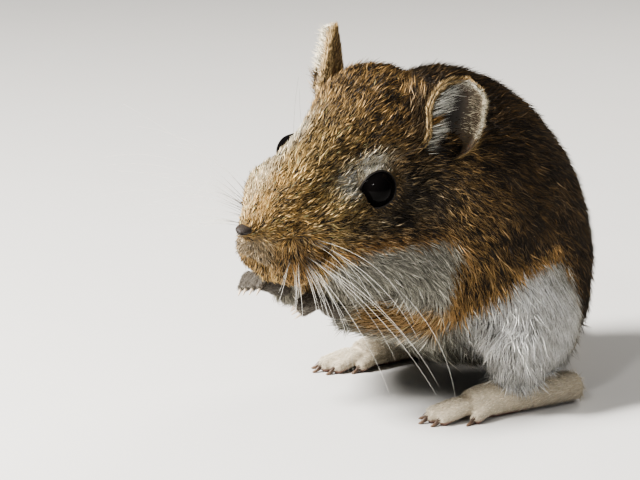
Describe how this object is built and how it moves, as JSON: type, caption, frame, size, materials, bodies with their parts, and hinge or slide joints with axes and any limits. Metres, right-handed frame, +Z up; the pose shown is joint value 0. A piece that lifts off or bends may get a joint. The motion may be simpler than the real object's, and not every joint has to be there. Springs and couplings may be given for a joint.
{
  "type": "gerbil",
  "caption": "Life-size still model of a golden agouti gerbil crouched on its hind feet, head turned, forepaws held up under the chin; a realistic animal figure for display.",
  "frame": {"origin": "middle of the bounding box at the level of the soles", "axes": "the animal's body faces -Y, its left side is towards +X, +Z is up"},
  "size_m": [0.1158, 0.0974, 0.0598],
  "materials": {
    "agouti_coat": "golden brown fur ticked with black",
    "ear_skin": "thin skin under very short hair",
    "eye_black": "wet glossy black",
    "muzzle_fur": "short fur and stiff whiskers",
    "paw_fur": "short flat buff fur",
    "rust_flank": "rust-orange fur",
    "tail_coat": "short bristly brown fur",
    "tuft_hair": "long dark tuft hair",
    "white_fur": "cream-white fur"
  },
  "bodies": {
    "root": {"head": "agouti_coat", "left_ear": "ear_skin", "left_eye": "eye_black", "left_forearm": "rust_flank", "left_forepaw": "paw_fur", "left_hind_foot": "paw_fur", "left_shank": "white_fur", "left_thigh": "agouti_coat", "left_upper_arm": "rust_flank", "left_whisker_pad": "muzzle_fur", "lower_jaw": "white_fur", "neck": "agouti_coat", "right_ear": "ear_skin", "right_eye": "eye_black", "right_forearm": "rust_flank", "right_forepaw": "paw_fur", "right_hind_foot": "paw_fur", "right_shank": "white_fur", "right_thigh": "agouti_coat", "right_upper_arm": "rust_flank", "right_whisker_pad": "muzzle_fur", "tail_base": "tail_coat", "tail_middle": "tail_coat", "tail_tip": "tuft_hair", "torso": "agouti_coat"}
  },
  "joints": []
}
